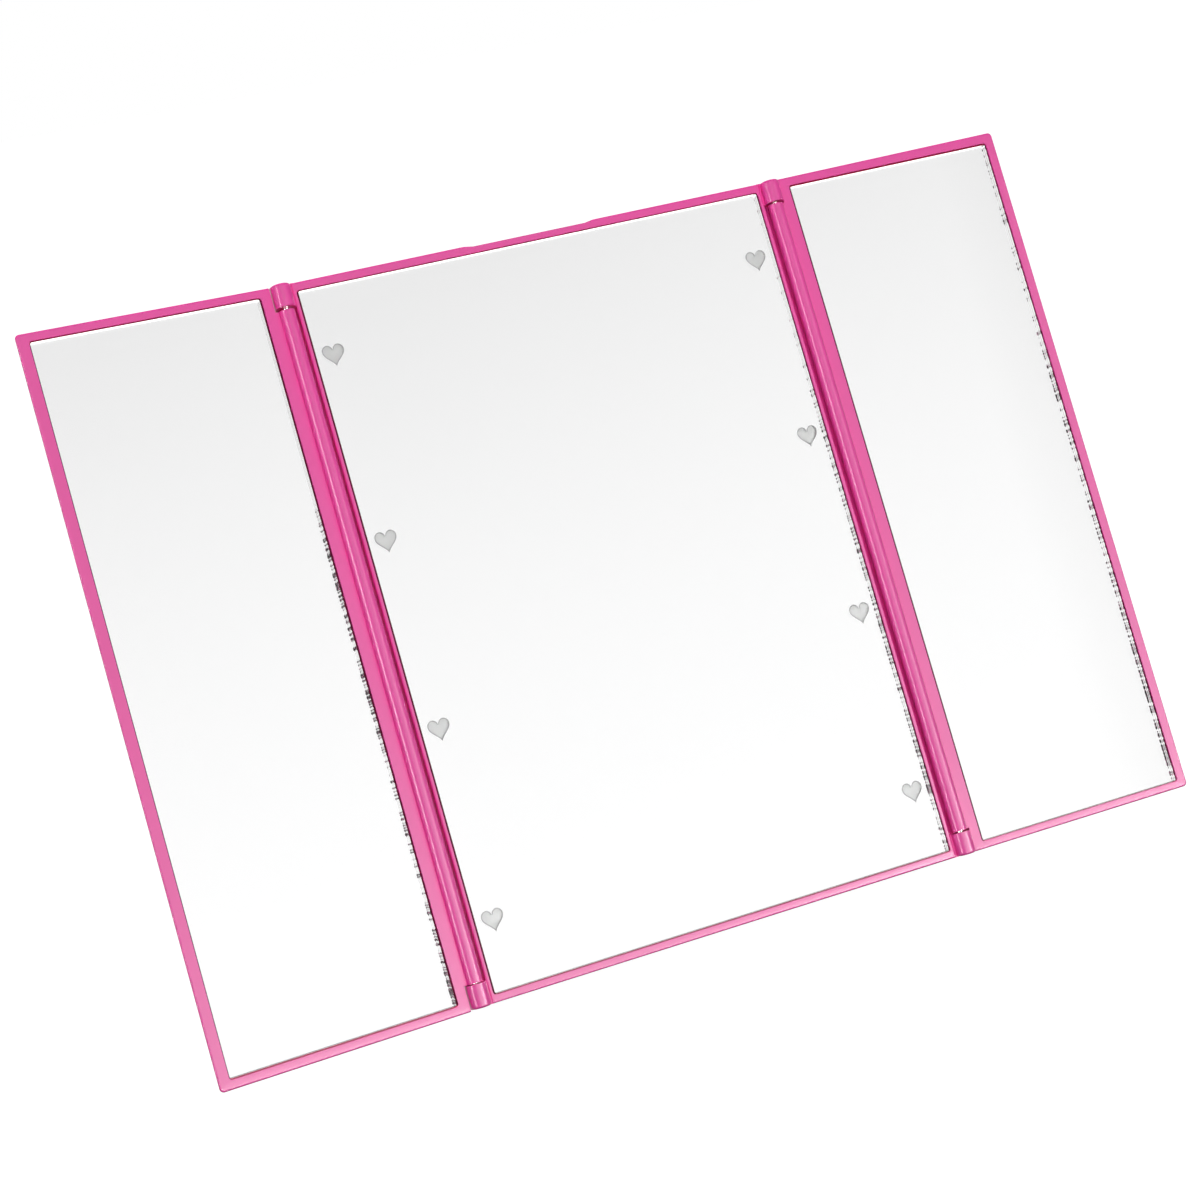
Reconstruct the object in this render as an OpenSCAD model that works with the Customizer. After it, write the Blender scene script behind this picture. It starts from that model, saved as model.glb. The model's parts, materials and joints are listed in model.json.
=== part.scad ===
// Tri-fold lighted makeup mirror on its fold-out rear stand.
// Every piece is drawn in the panel frame: X across, Y from the front face to the back,
// Z up the panel from its bottom edge. The panel then leans back on the table at Z = 0.

/* [Mirrors] */
// Height of the three mirrors
mirror_h = 195.2; // [150:0.1:240]
// Width of the centre mirror
centre_mirror_w = 137.5; // [120:0.1:170]
// Width of each wing mirror
wing_mirror_w = 63.4; // [45:0.1:64]
// Thickness of the glass
glass_t = 1.8; // [1.5:0.1:2.2]
// Thickness of the silver and its backing paint
silver_t = 0.2; // [0.1:0.05:0.3]
// Thickness of the foam tape behind the silver
tape_t = 0.5; // [0.4:0.1:0.8]
// Gap all round each glass, on average
glass_gap = 0.3; // [0.25:0.01:0.4]
// How far the centre mirror is stuck to the right of the middle of its opening
centre_mirror_shift = 0.08; // [0:0.01:0.2]
// How far the wing mirrors are stuck outwards of the middle of their openings
wing_mirror_shift = 0.12; // [0:0.01:0.2]
// How far the left wing mirror is stuck above the middle of its opening, and the right one below
wing_mirror_rise = 0.2; // [0:0.01:0.2]
// Corner radius of each glass
glass_corner = 0.5; // [0.4:0.1:2]
// Height of the frame lip above the glass
lip_h = 0.3; // [0.2:0.1:1.4]

/* [Frames] */
// Height of the centre frame above its mirror
centre_top = 2.25; // [2:0.05:5]
// Height of the centre frame below its mirror
centre_bottom = 2.35; // [2:0.05:5]
// Width of the raised rim beside the opening of the centre mirror
rim_w = 0.85; // [0.8:0.05:1.2]
// Width of the wing frame along its free edge
wing_side = 2.95; // [2.6:0.05:5]
// Width of the wing frame above and below its mirror
wing_edge = 2.4; // [2:0.05:2.5]
// Corner radius of the frames, seen from the front
frame_corner = 1.2; // [1:0.1:1.9]
// Rounding of the front edges
edge_round = 0.5; // [0.3:0.05:0.8]
// Thickness of the plate that the centre mirror sticks to
floor_t = 2.0; // [1.2:0.1:2.4]
// Thickness of each wing back
wing_back_t = 2.6; // [1.6:0.1:3]
// Inward slope of the wing sides from front to seam
wing_bevel = 1.55; // [1.2:0.05:1.7]
// Inward curve of the wing back beyond the seam
wing_crown = 2.6; // [2:0.1:4]
// Width of the finger notch in the top of the centre frame
notch_w = 39.4; // [25:0.2:50]
// Depth of the finger notch
notch_d = 0.55; // [0.4:0.05:1.2]
// Length of each sloped end of the notch
notch_slope = 3; // [0.5:0.1:4]
// Distance of the middle of the notch to the left of the middle line
notch_left = 0.9; // [0:0.1:2]

/* [Fold hinges] */
// Distance between the edges of neighbouring mirrors
mirror_gap = 10.1; // [10:0.05:13]
// Distance of each hinge axis from the edge of the centre mirror
hinge_inset = 4.2; // [4.1:0.05:5]
// Distance of the hinge axis in front of the frame faces
axis_front = 0.25; // [0.2:0.05:0.5]
// Diameter of the long barrel on each wing
barrel_d = 4.3; // [3.8:0.1:4.6]
// Diameter of the end knuckles on the centre frame
knuckle_d = 5.5; // [4.8:0.1:5.6]
// Length of each end knuckle
knuckle_len = 6.4; // [5:0.1:10]
// Rounding of the outer ends of the knuckles
knuckle_round = 0.7; // [0.3:0.1:1.2]
// Play of a wing along its hinge axis, both ends together
hinge_play = 1.1; // [0.8:0.1:1.6]
// How far the left wing has settled below the middle of its play
left_drop = 0.25; // [0:0.05:0.25]
// Diameter of the hinge pins
pin_d = 1.6; // [1.2:0.1:2]
// Length of each hinge pin
pin_len = 14; // [12:0.5:20]
// Angle that the left wing is folded forward at rest
left_rest = 6; // [0:1:30]
// Angle that the right wing is folded forward at rest
right_rest = 2; // [0:1:30]
// Radial running gap of the hinge pins
pin_gap = 0.05; // [0.03:0.01:0.1]
// Gap between each wing and the casing beside it
wing_gap = 0.3; // [0.25:0.05:0.5]

/* [Casing] */
// Depth of the centre casing, front face to back face
case_d = 17.4; // [17:0.1:24]
// Depth of the seam between the front frame and the rear cover
seam_y = 8.0; // [7.6:0.1:9]
// Wall thickness of the casing
wall = 1.6; // [1.2:0.1:1.8]
// Depth of the step under the hinge barrels
groove_d = 2.6; // [2.5:0.1:2.9]
// How far the casing reaches beyond the hinge axis
step_reach = 1.85; // [1.4:0.05:2]
// Corner radius of the casing, seen from behind
case_corner = 4; // [3:0.5:6]
// Rounding of the rear edges
back_round = 4; // [3:0.5:5]
// Depth of the flat that the rear edge stands on
facet_cut = 0.25; // [0.15:0.05:0.4]
// Distance of the cover screws from the middle line
screw_x = 50; // [45:1:54]
// Distance of the cover screws from the top and bottom edges
screw_inset = 10; // [8:0.5:12]

/* [Light windows] */
// Width of each heart window
heart_w = 6.15; // [4:0.05:8]
// Number of heart windows on each side
heart_rows = 4; // [2:1:5]
// Height of the lowest heart above the bottom of the mirror
heart_low = 18.4; // [16:0.1:25]
// Distance of the highest heart below the top of the mirror
heart_top = 19.3; // [16:0.1:25]
// Distance of the heart centres from the side of the mirror
heart_inset = 5.5; // [5:0.1:8]
// Width of the light boards
board_w = 9; // [8:0.5:10]
// Thickness of the light boards
board_t = 1.0; // [0.8:0.1:1.6]

/* [Stand] */
// Angle that the panel leans back
lean = 20; // [15:1:25]
// Angle of the open stand leaf behind the vertical
splay = 8; // [6:1:12]
// Distance of the stand hinge below the battery door
stand_drop = 12; // [11:0.5:30]
// Width of the stand leaf
leaf_w = 60; // [40:1:70]
// Thickness of the stand leaf
leaf_t = 3; // [2.4:0.1:3.4]
// Diameter of the leaf barrel round its pin
leaf_barrel_d = 4; // [3.6:0.1:4.4]
// Diameter of the stand pin
stand_pin_d = 2; // [1.6:0.1:2.4]
// Gap round the leaf in its recess
leaf_gap = 0.4; // [0.3:0.1:0.8]
// Radius of the finger hold in the end of the leaf
hold_r = 8; // [6:0.5:10]

/* [Battery bay] */
// Gap in front of and behind the cells, whose diameter is the rest of the bay's depth
cell_gap = 0.2; // [0.1:0.05:0.4]
// Gap between neighbouring cells
cell_side_gap = 0.4; // [0.2:0.1:1.5]
// Length of one cell with its button
cell_len = 44.5; // [40:0.5:46]
// Number of cells
cells = 4; // [2:1:4]
// Space for each contact spring
spring_len = 5.2; // [4:0.1:7]
// Distance of the battery door below the top of the casing
door_drop = 28.65; // [24:0.05:36]
// Thickness of the battery door
door_t = 1.6; // [1.2:0.1:1.8]
// Gap round the battery door
door_gap = 0.2; // [0.15:0.05:0.4]

/* [Power switch] */
// Distance of the switch from the middle line
switch_x = 48; // [42:1:54]
// Distance of the middle of the switch below the top of the casing
switch_drop = 55.85; // [35:0.05:75]
// Travel of the switch knob
switch_travel = 4; // [3:0.5:5]

/* [Hidden] */
$fn = 64;

pink = [0.91, 0.31, 0.58];
silver = [0.86, 0.88, 0.89];
clear = [0.85, 0.92, 0.9, 0.4];
steel = [0.8, 0.8, 0.82];
board_green = [0.1, 0.4, 0.22];

// Heights up the panel
panel_h = centre_bottom + mirror_h + centre_top;
mirror_z = centre_bottom;

// Depths, from the front faces of the frames
glass_y = lip_h;
silver_y = glass_y + glass_t;
tape_y = silver_y + silver_t;
floor_y = tape_y + tape_t;
inside_y = floor_y + floor_t;

// Widths, from the middle line
centre_half = centre_mirror_w / 2;
rim_x = centre_half + glass_gap + rim_w;
axis_x = centre_half + hinge_inset;
case_x = axis_x + step_reach;
wing_x0 = case_x + wing_gap;
wing_mirror_x = centre_half + mirror_gap;
wing_x1 = wing_mirror_x + wing_mirror_w + wing_side;

// Hinge line
barrel_z0 = knuckle_len + hinge_play / 2;
barrel_z1 = panel_h - knuckle_len - hinge_play / 2;
knuckle_clear_x = axis_x + knuckle_d / 2 + wing_gap;
pin_in_knuckle = knuckle_len - 1;
press_gap = 0.01;
foot_root = 0.7;
foot_inset = 0.2;
web_root = 0.5;
web_step = 0.7;

// How far a cut reaches past the face that it opens, and how far joined solids share room
over = 1;
merge = 0.1;

// Skins: thickness of a slice and the least radius of its corners
slice = 0.01;
min_r = 0.3;

// Corners of the pockets and pads inside the casing
inner_corner = 2;

// Seam: a lip on the rear cover that fits inside the rim of the front frame
seam_gap = 0.15;
seam_lip_t = 0.8;
seam_lip_h = 1.2;

// Screws: a pilot hole is a little wider than the shank, whose thread is not drawn
pilot_gap = 0.02;
cover_screw_r = 1.2;
cover_head_r = 2.3;
cover_head_h = 1.5;
cover_head_sink = 3;
front_boss_r = 2.8;
rear_boss_r = 3.6;
board_screw_r = 0.9;
board_head_r = 1.8;
board_head_h = 1.1;
board_boss_r = 2;
screw_tip_gap = 0.4;
screw_room = 0.3;

// Tape strips
tape_w = 14;
tape_inset = 6;

// Table plane and rest pose
base_y = case_d - back_round + (back_round - facet_cut) * sin(lean);
base_z = back_round - (back_round - facet_cut) * cos(lean);
far = 400;

// Battery bay, whose depth gives the cells their diameter
ledge_gap = 0.1;
ledge_y = case_d - door_t - ledge_gap;
cell_d = ledge_y - inside_y - 2 * cell_gap;
cell_y = inside_y + cell_gap + cell_d / 2;
cell_pitch = cell_d + cell_side_gap;
bay_w = cells * cell_pitch + 1;
bay_len = cell_len + spring_len + 0.9;
bay_wall = 1.2;
bay_step = 2.6;
ledge = 1.1;
door_w = bay_w + 2 * bay_wall + 2 * ledge;
door_len = bay_len + 2 * bay_wall + 2 * ledge;
door_z = panel_h - door_drop - door_len;
door_corner = 1;
bay_z = door_z + ledge + bay_wall;
plate_t = 0.4;
plate_inset = 0.75;
plate_gap = 0.5;
button_h = 1;
button_r = 1.9;
end_gap = 0.05;
tab_w = 7;
tab_x = door_w / 2 - 9;
tab_reach = 2.6;
tab_t = 0.95;
tab_room = 0.4;
tab_swing = 1.3;
latch_w = 10;
latch_len = 9;
latch_slot = 1;
ridges = 5;
ridge_pitch = 1.4;
ridge_w = 0.6;
ridge_d = 0.4;
ridge_inset = 1.5;
thumb_r = 8;
thumb_rise = 3;
thumb_d = 0.8;
lug_w = 3;
lug_len = 2.5;
lug_gap = 0.2;

// Stand
stand_z = door_z - stand_drop;
leaf_axis_y = case_d - leaf_barrel_d / 2;
leaf_inner = leaf_t - leaf_barrel_d / 2;
barrel_room = 0.3;
recess_y = case_d - leaf_barrel_d - barrel_room;
open_angle = lean + splay;
hinge_h = (stand_z - base_z) * cos(lean) - (leaf_axis_y - base_y) * sin(lean);
leaf_mid = leaf_t / 2 - leaf_inner;
leaf_len = (hinge_h + leaf_mid * sin(splay)) / cos(splay);
leaf_foot = 0.6;
stop_gap = 0.1;
heel_len = (leaf_axis_y - recess_y - stop_gap - leaf_inner * cos(open_angle)) / sin(open_angle);
leaf_end_z = stand_z - leaf_len - leaf_foot;
recess_top = stand_z + norm([heel_len, leaf_barrel_d / 2]) + leaf_gap;
stand_boss = 3;
stand_pin_sink = 0.2;
stand_pin_len = leaf_w + 2 * (leaf_gap + stand_boss - stand_pin_sink);
leaf_rib_w = 1.5;
leaf_rib_h = 0.9;
leaf_edge = 4;
leaf_corner = 2.5;
leaf_dish = 0.5;
leaf_dish_corner = 3;
leaf_plain_end = 14;

// Light boards
board_y = inside_y + 2.5;
board_end = 8;
heart_x = centre_half - heart_inset;
heart_stretch = 1.1;
heart_z = mirror_z + heart_low;
heart_pitch = (mirror_h - heart_low - heart_top) / (heart_rows - 1);
board_z0 = heart_z - board_end;
board_z1 = mirror_z + mirror_h - heart_top + board_end;
board_screw_z = [for (s = [0.5, heart_rows - 1.5]) heart_z + s * heart_pitch];
board_screw_gap = 0.3;
window_gap = 0.15;
plug_gap = 0.05;
plug_flange_r = heart_w / 2 + 1.3;
plug_flange_t = 0.8;
led_w = 3.5;
led_h = 2.8;
led_t = 0.9;
led_lens_r = 1.1;
led_lens_t = 0.2;

// Switch
switch_z = panel_h - switch_drop;
dish = 1.0;
dish_w = 8;
dish_len = 15;
switch_w = 6;
switch_len = 12;
switch_deep = 4.6;
switch_back = case_d - wall - dish;
switch_front = switch_back - switch_deep;
switch_pins = [-3, 0, 3];
switch_pin = [0.6, 2.5, 1.4];
knob_w = 4.6;
knob_len = 5;
knob_gap = 0.15;
knob_proud = 0.6;
knob_corner = 0.8;
grip_pitch = 1.3;
grip_half = [1.6, 0.3];
grip_d = 0.4;
stem_w = 2.4;
stem_len = 2.6;
stem_gap = 0.3;
stem_end = 1.5;
stem_room = 0.5;
stem_slot_half = (stem_len + switch_travel) / 2 + stem_gap;

// Lays the panel back and sets its rear bottom edge on the table
module standing() {
    rotate([-lean, 0, 0]) translate([0, -base_y, -base_z]) children();
}

// Everything below the table top, to cut the flats that stand on it
module under_table() {
    translate([-far, -far, -far]) cube([2 * far, 2 * far, far]);
}

// A flat outline, drawn in X and Z, given thickness from depth y0 to y1
module plate(y0, y1) {
    translate([0, y1, 0]) rotate([90, 0, 0]) linear_extrude(y1 - y0) children();
}

// A block between two corners
module block(x0, x1, y0, y1, z0, z1) {
    translate([x0, y0, z0]) cube([x1 - x0, y1 - y0, z1 - z0]);
}

// A rod along Y from depth y0 to y1
module rod_y(x, z, y0, y1, r) {
    translate([x, y1, z]) rotate([90, 0, 0]) cylinder(h = y1 - y0, r = r);
}

// A rectangle with round corners, given by its edges
module round_rect(x0, x1, z0, z1, r) {
    for (x = [x0 + r, x1 - r], z = [z0 + r, z1 - r]) {
        translate([x, z]) circle(r);
    }
    translate([x0 + r, z0]) square([x1 - x0 - 2 * r, z1 - z0]);
    translate([x0, z0 + r]) square([x1 - x0, z1 - z0 - 2 * r]);
}

// Its four corner discs alone, for a slice of a form that gets one skin over all its slices
module corner_discs(x0, x1, z0, z1, r) {
    for (x = [x0 + r, x1 - r], z = [z0 + r, z1 - r]) {
        translate([x, z]) circle(r, $fn = 32);
    }
}

// One skin round a straight band from depth y0 to y1 and the thin slices of its round edge.
// Each step gives a slice's depth and how far it lies inside the band's outline.
module loft(y0, y1, steps, x0, x1, z0, z1, r) {
    hull() {
        plate(y0, y1) corner_discs(x0, x1, z0, z1, r);
        for (s = steps) {
            plate(s[0], s[0] + slice) corner_discs(x0 + s[1], x1 - s[1], z0 + s[1], z1 - s[1],
                max(r - s[1], min_r));
        }
    }
}

// A heart, point down: the classic curve in sines and cosines, w wide and drawn out in height
function heart_point(t, w) = [
    16 * pow(sin(t), 3) * w / 32,
    (13 * cos(t) - 5 * cos(2 * t) - 2 * cos(3 * t) - cos(4 * t) + 2.5) * heart_stretch * w / 32
];
module heart(w) {
    steps = 36;
    polygon([for (i = [0:steps - 1]) heart_point(360 * (i + 0.5) / steps, w)]);
}

// The eight heart places, four up each side of the centre mirror
module at_hearts(sides = [-1, 1]) {
    for (side = sides, row = [0:heart_rows - 1]) {
        translate([side * heart_x, heart_z + row * heart_pitch]) children();
    }
}

// The four places of the cover screws
module at_cover_screws() {
    for (x = [-screw_x, screw_x], z = [screw_inset, panel_h - screw_inset]) {
        translate([x, 0, z]) children();
    }
}

// The two screw places of each light board, or of one side's board
module at_board_screws(sides = [-1, 1]) {
    for (side = sides, z = board_screw_z) {
        translate([side * heart_x, 0, z]) children();
    }
}

// A tube of radius r along a list of points, with rings square to the path
function unit(v) = v / norm(v);
function heading(path, i) =
    unit(path[min(i + 1, len(path) - 1)] - path[max(i - 1, 0)]);
function ring(p, t, ref, r, sides) = [
    for (k = [0:sides - 1])
        let (u = unit(cross(t, ref)), v = cross(t, u), a = 360 * k / sides)
        p + r * cos(a) * u + r * sin(a) * v
];
module tube(path, r, sides, ref) {
    n = len(path);
    points = [for (i = [0:n - 1]) each ring(path[i], heading(path, i), ref, r, sides)];
    walls = [
        for (i = [0:n - 2], k = [0:sides - 1])
            let (a = i * sides + k, b = i * sides + (k + 1) % sides)
            each [[a, b, b + sides], [a, b + sides, a + sides]]
    ];
    first = [for (k = [1:sides - 2]) [0, k + 1, k]];
    last = [for (k = [1:sides - 2]) [(n - 1) * sides, (n - 1) * sides + k, (n - 1) * sides + k + 1]];
    polyhedron(points, concat(walls, first, last));
}

// Smooth route through hand-set points, four steps to a stretch
function bend(a, b, c, d, t) =
    0.5 * (2 * b + (c - a) * t + (2 * a - 5 * b + 4 * c - d) * t * t
    + (3 * b - a - 3 * c + d) * t * t * t);
function smooth(p) = concat(
    [for (i = [0:len(p) - 2], s = [0:3])
        bend(p[max(i - 1, 0)], p[i], p[i + 1], p[min(i + 2, len(p) - 1)], s / 4)],
    [p[len(p) - 1]]
);

// Centre casing, front half

// Steps that round the front edges: a quarter circle of radius edge_round
front_steps = [
    for (a = [22.5:22.5:90]) [edge_round * (1 - sin(a)), edge_round * (1 - cos(a))]
];

// One end knuckle, its round end at height 0 and growing up
module knuckle() {
    profile = [
        [0, 0],
        [knuckle_d / 2 - knuckle_round, 0],
        for (a = [15:15:90])
            [knuckle_d / 2 - knuckle_round + knuckle_round * sin(a), knuckle_round * (1 - cos(a))],
        [knuckle_d / 2, knuckle_len],
        [0, knuckle_len]
    ];
    rotate_extrude() polygon(profile);
}

// Places children at the four knuckles, bottom ones as drawn and top ones turned over
module at_knuckles() {
    for (side = [-1, 1]) {
        translate([side * axis_x, -axis_front, 0]) children();
        translate([side * axis_x, -axis_front, panel_h]) mirror([0, 0, 1]) children();
    }
}

// Feet of the knuckles, which tie them to the rim and fill the room behind them
module knuckle_feet() {
    for (turn = [0, 1], z = [0, panel_h - knuckle_len]) {
        mirror([turn, 0, 0]) block(rim_x - foot_root, axis_x + knuckle_d / 2 - foot_inset,
            edge_round / 2, groove_d + edge_round / 2, z, z + knuckle_len);
    }
}

module notch_outline() {
    half = notch_w / 2;
    polygon([
        [-half - notch_slope, panel_h + notch_d], [-half, panel_h],
        [-half + notch_slope, panel_h - notch_d], [half - notch_slope, panel_h - notch_d],
        [half, panel_h], [half + notch_slope, panel_h + notch_d]
    ]);
}

// Room for one mirror between two side edges of its glass, from the front down to a depth
module opening(x0, x1, depth) {
    plate(-over, depth) round_rect(x0 - glass_gap, x1 + glass_gap, mirror_z - glass_gap,
        mirror_z + mirror_h + glass_gap, glass_corner + glass_gap);
}

module centre_frame() {
    color(pink) standing() difference() {
        union() {
            difference() {
                union() {
                    loft(edge_round, inside_y, front_steps,
                        -rim_x, rim_x, 0, panel_h, min_r);
                    plate(groove_d, seam_y) case_outline(0);
                    knuckle_feet();
                    at_knuckles() knuckle();
                }
                plate(inside_y, seam_y + over) case_outline(wall);
            }
            at_cover_screws() rod_y(0, 0, inside_y - merge, seam_y, front_boss_r);
            at_board_screws() rod_y(0, 0, inside_y - merge, board_y, board_boss_r);
        }
        opening(-centre_half, centre_half, floor_y);
        plate(-over, seam_y + over) translate([-notch_left, 0]) notch_outline();
        plate(floor_y - over, inside_y + over) at_hearts() heart(heart_w + 4 * window_gap);
        at_cover_screws() rod_y(0, 0, inside_y, seam_y + over, cover_screw_r + pilot_gap);
        at_board_screws() rod_y(0, 0, inside_y, board_y + over, board_screw_r + pilot_gap);
        at_knuckles() translate([0, 0, knuckle_len - pin_in_knuckle])
            cylinder(h = pin_in_knuckle + over, r = pin_d / 2 + press_gap);
    }
}

// Glass, silver and tape of one mirror between two side edges
module pane(x0, x1, y0, y1) {
    plate(y0, y1) round_rect(x0, x1, mirror_z, mirror_z + mirror_h, glass_corner);
}

// Upright strips of foam tape, spread evenly over the mirror clear of its edges
module tape_strips(x0, x1, count, clear_side) {
    span = x1 - x0 - 2 * clear_side - tape_w;
    for (i = [0:count - 1]) {
        x = x0 + clear_side + i * span / (count - 1);
        block(x, x + tape_w, tape_y, floor_y, mirror_z + tape_inset,
            mirror_z + mirror_h - tape_inset);
    }
}

module centre_glass() {
    color(clear) standing() translate([centre_mirror_shift, 0, 0])
        pane(-centre_half, centre_half, glass_y, silver_y);
}

module centre_silvering() {
    color(silver) standing() difference() {
        translate([centre_mirror_shift, 0, 0]) pane(-centre_half, centre_half, silver_y, tape_y);
        plate(silver_y - over, tape_y + over) at_hearts() heart(heart_w);
    }
}

module centre_tape() {
    color("white") standing() tape_strips(-centre_half, centre_half, 3, 2 * heart_inset + window_gap);
}

// A heart plug through the plate and a round flange behind it
module heart_diffusers() {
    color([0.96, 0.96, 0.94]) standing() {
        flange_y = inside_y + plug_gap;
        plate(tape_y + plug_gap, flange_y) at_hearts() heart(heart_w + 2 * window_gap);
        plate(flange_y, flange_y + plug_flange_t) at_hearts() circle(plug_flange_r);
    }
}

// Light boards

module led_board(side) {
    color(board_green) standing() difference() {
        block(side * heart_x - board_w / 2, side * heart_x + board_w / 2,
            board_y, board_y + board_t, board_z0, board_z1);
        at_board_screws([side])
            rod_y(0, 0, board_y - over, board_y + board_t + over, board_screw_r + board_screw_gap);
    }
}

module left_led_board() { led_board(-1); }

module right_led_board() { led_board(1); }

// A surface-mount lamp: square body, round lens, light side to the front
module leds(side) {
    color([1, 0.97, 0.85]) standing() {
        plate(board_y - led_t, board_y) at_hearts([side])
            translate([-led_w / 2, -led_h / 2]) square([led_w, led_h]);
        plate(board_y - led_t - led_lens_t, board_y - led_t) at_hearts([side])
            circle(led_lens_r);
    }
}

module left_leds() { leds(-1); }

module right_leds() { leds(1); }

// One resistor behind each board: a body on a lead that bends down to the board at both ends
resistor_r = 1.1;
resistor_len = 6;
resistor_lift = 0.2;
lead_r = 0.3;
lead_span = 10;

module resistors() {
    z = board_screw_z[1] - heart_pitch / 2;
    y = board_y + board_t + resistor_r + resistor_lift;
    color([0.82, 0.72, 0.55]) standing() for (side = [-1, 1]) {
        translate([side * heart_x, y, z - resistor_len / 2]) cylinder(h = resistor_len, r = resistor_r);
        translate([side * heart_x, y, z - lead_span / 2]) cylinder(h = lead_span, r = lead_r);
        for (end = [-lead_span / 2, lead_span / 2]) {
            rod_y(side * heart_x, z + end, board_y + board_t, y + lead_r, lead_r);
        }
    }
}

// A pan head over a plain shank, head towards the back
module screw(y_seat, shank, r, head_r, head_h) {
    rod_y(0, 0, y_seat - shank, y_seat, r);
    difference() {
        rod_y(0, 0, y_seat, y_seat + head_h, head_r);
        translate([0, y_seat + head_h, 0]) for (a = [0, 90]) {
            rotate([0, a, 0]) cube([head_r * 1.2, head_h, head_r * 0.3], center = true);
        }
    }
}

module board_screws() {
    seat = board_y + board_t;
    color(steel) standing() at_board_screws()
        screw(seat, seat - inside_y - screw_tip_gap, board_screw_r, board_head_r, board_head_h);
}

module cover_screws() {
    seat = case_d - cover_head_sink;
    color(steel) standing() at_cover_screws()
        screw(seat, seat - inside_y - screw_tip_gap, cover_screw_r, cover_head_r, cover_head_h);
}

// Rear cover

// Steps that round the rear edges by radius r, from depth round_y
round_y = case_d - back_round;
function back_steps(r, turn) =
    [for (a = [turn:turn:90]) [round_y + (r - slice) * sin(a), r * (1 - cos(a))]];

// Outline of the leaf between two heights, grown by g at its sides
module leaf_outline(g, low, high) {
    half = leaf_w / 2 + g;
    round_rect(-half, half, low, high, leaf_corner);
}

// Rectangle between the door edges, grown by g
module door_outline(g, r) {
    half = door_w / 2 + g;
    round_rect(-half, half, door_z - g, door_z + door_len + g, r);
}

// Outline of the casing drawn in by g
module case_outline(g) {
    round_rect(-case_x + g, case_x - g, g, panel_h - g, case_corner - g);
}

// A band inside the casing outline between two insets
module case_ring(outer, inner) {
    difference() {
        case_outline(outer);
        case_outline(inner);
    }
}

// Rectangle round the cells, grown by g
module bay_outline(g) {
    translate([-bay_w / 2 - g, bay_z - g]) square([bay_w + 2 * g, bay_len + 2 * g]);
}

// Rectangle of the switch dish, grown by g
module switch_outline(g) {
    round_rect(switch_x - dish_w / 2 - g, switch_x + dish_w / 2 + g,
        switch_z - dish_len / 2 - g, switch_z + dish_len / 2 + g, inner_corner);
}

module rear_cover() {
    pocket_low = leaf_end_z - leaf_gap;
    root_y = case_d - wall / 2;
    color(pink) difference() {
        standing() difference() {
            union() {
                difference() {
                    loft(seam_y, round_y, back_steps(back_round, 15),
                        -case_x, case_x, 0, panel_h, case_corner);
                    loft(seam_y - over, round_y, back_steps(back_round - wall, 30),
                        -case_x + wall, case_x - wall, wall, panel_h - wall, case_corner - wall);
                }
                plate(seam_y - seam_lip_h, seam_y + merge)
                    case_ring(wall + seam_gap, wall + seam_gap + seam_lip_t);
                plate(seam_y, seam_y + wall)
                    case_ring(wall - merge, wall + seam_gap + seam_lip_t);
                plate(recess_y - wall, root_y)
                    round_rect(-leaf_w / 2 - leaf_gap - stand_boss, leaf_w / 2 + leaf_gap + stand_boss,
                        max(pocket_low - over, wall), recess_top + wall, inner_corner);
                plate(ledge_y - bay_wall, root_y) door_outline(bay_step, inner_corner);
                plate(inside_y + ledge_gap, ledge_y - over) bay_outline(bay_wall);
                at_cover_screws() rod_y(0, 0, seam_y, root_y, rear_boss_r);
                plate(switch_back, root_y) switch_outline(wall);
            }
            plate(recess_y, case_d + over) leaf_outline(leaf_gap, pocket_low, recess_top);
            translate([0, leaf_axis_y, stand_z]) rotate([0, 90, 0])
                cylinder(h = stand_pin_len + stand_pin_sink, r = stand_pin_d / 2 + press_gap,
                    center = true);
            plate(ledge_y, case_d + over) door_outline(door_gap, door_corner + door_gap);
            plate(inside_y - over, case_d) bay_outline(0);
            for (side = [-1, 1]) {
                block(side * tab_x - tab_w / 2 - tab_room, side * tab_x + tab_w / 2 + tab_room,
                    ledge_y - tab_t - tab_swing, ledge_y + merge,
                    door_z - tab_reach - 2 * tab_room, bay_z + merge);
                block(side * bay_w / 2 - bay_wall - over, side * bay_w / 2 + bay_wall + over,
                    cell_y - lug_w / 2 - lug_gap, cell_y + lug_w / 2 + lug_gap,
                    bay_z, bay_z + plate_t + lug_gap);
            }
            rod_y(0, door_z + door_len + thumb_rise, case_d - thumb_d, case_d + over, thumb_r);
            at_cover_screws() rod_y(0, 0, seam_y - over, case_d, cover_screw_r + screw_room);
            at_cover_screws()
                rod_y(0, 0, case_d - cover_head_sink, case_d + over, cover_head_r + screw_room);
            plate(case_d - dish, case_d + over) switch_outline(0);
            block(switch_x - stem_w / 2 - stem_gap, switch_x + stem_w / 2 + stem_gap,
                switch_back - over, case_d, switch_z - stem_slot_half, switch_z + stem_slot_half);
        }
        under_table();
    }
}

// Battery door, its flexing latch and the two tabs that it pivots on

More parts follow.
